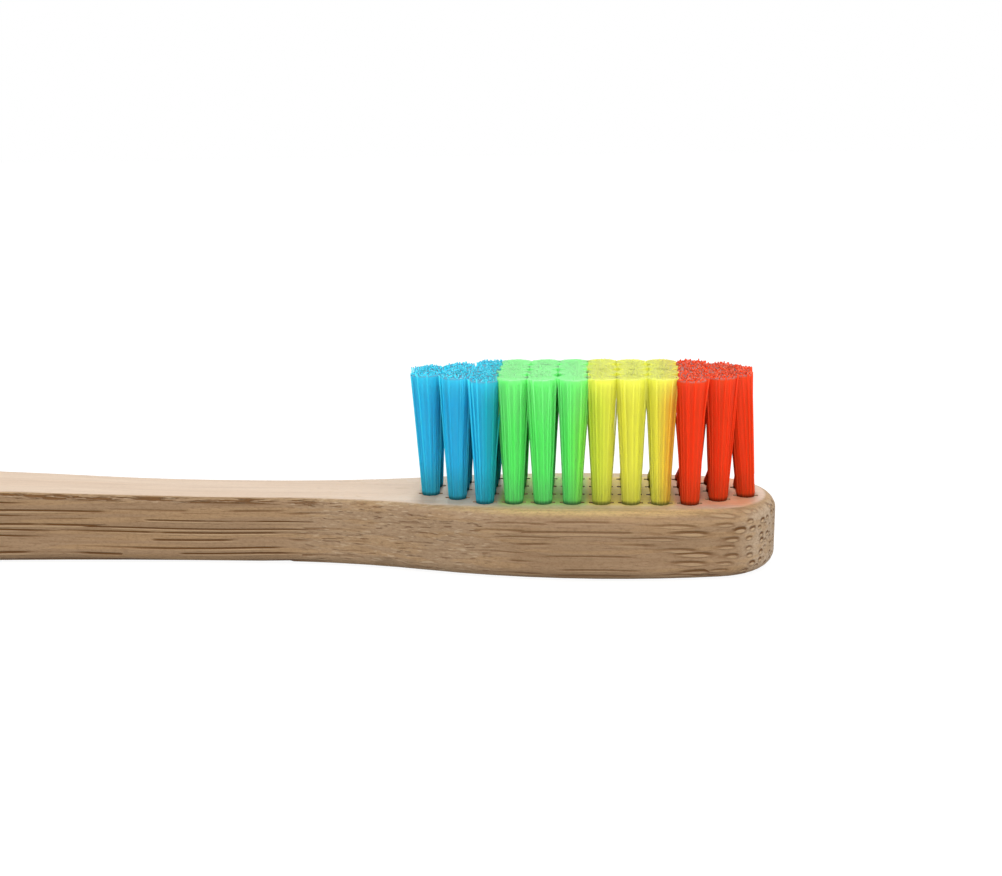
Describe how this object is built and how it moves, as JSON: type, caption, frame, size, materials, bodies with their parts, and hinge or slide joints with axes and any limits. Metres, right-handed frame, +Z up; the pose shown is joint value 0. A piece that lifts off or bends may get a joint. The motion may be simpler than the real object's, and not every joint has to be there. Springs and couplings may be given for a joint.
{
  "type": "manual toothbrush",
  "caption": "Bamboo manual toothbrush lying on its back: flat handle with a slim neck and rounded head, drilled for flared nylon tufts in bands of colour, each folded over a flat anchor.",
  "frame": {"origin": "under the middle of the brush, on the plane that its flat back rests on", "axes": "+X along the brush from grip to head, +Y across it, +Z up out of the bristle side"},
  "size_m": [0.18, 0.0132, 0.0164],
  "materials": {
    "bamboo": "sanded raw bamboo with fibre streaks along the handle",
    "bristle_blue": "translucent nylon bristle",
    "bristle_green": "translucent nylon bristle",
    "bristle_yellow": "translucent nylon bristle",
    "bristle_red": "translucent nylon bristle",
    "anchor_metal": "flat rolled wire"
  },
  "bodies": {
    "root": {"handle": "bamboo", "tuft_anchors": "anchor_metal", "tuft_blue_c01_r1": "bristle_blue", "tuft_blue_c01_r2": "bristle_blue", "tuft_blue_c02_r1": "bristle_blue", "tuft_blue_c02_r2": "bristle_blue", "tuft_blue_c02_r3": "bristle_blue", "tuft_blue_c03_r1": "bristle_blue", "tuft_blue_c03_r2": "bristle_blue", "tuft_blue_c03_r3": "bristle_blue", "tuft_blue_c03_r4": "bristle_blue", "tuft_green_c04_r1": "bristle_green", "tuft_green_c04_r2": "bristle_green", "tuft_green_c04_r3": "bristle_green", "tuft_green_c04_r4": "bristle_green", "tuft_green_c05_r1": "bristle_green", "tuft_green_c05_r2": "bristle_green", "tuft_green_c05_r3": "bristle_green", "tuft_green_c05_r4": "bristle_green", "tuft_green_c06_r1": "bristle_green", "tuft_green_c06_r2": "bristle_green", "tuft_green_c06_r3": "bristle_green", "tuft_green_c06_r4": "bristle_green", "tuft_red_c10_r1": "bristle_red", "tuft_red_c10_r2": "bristle_red", "tuft_red_c10_r3": "bristle_red", "tuft_red_c10_r4": "bristle_red", "tuft_red_c11_r1": "bristle_red", "tuft_red_c11_r2": "bristle_red", "tuft_red_c11_r3": "bristle_red", "tuft_red_c12_r1": "bristle_red", "tuft_red_c12_r2": "bristle_red", "tuft_yellow_c07_r1": "bristle_yellow", "tuft_yellow_c07_r2": "bristle_yellow", "tuft_yellow_c07_r3": "bristle_yellow", "tuft_yellow_c07_r4": "bristle_yellow", "tuft_yellow_c08_r1": "bristle_yellow", "tuft_yellow_c08_r2": "bristle_yellow", "tuft_yellow_c08_r3": "bristle_yellow", "tuft_yellow_c08_r4": "bristle_yellow", "tuft_yellow_c09_r1": "bristle_yellow", "tuft_yellow_c09_r2": "bristle_yellow", "tuft_yellow_c09_r3": "bristle_yellow", "tuft_yellow_c09_r4": "bristle_yellow"}
  },
  "joints": []
}
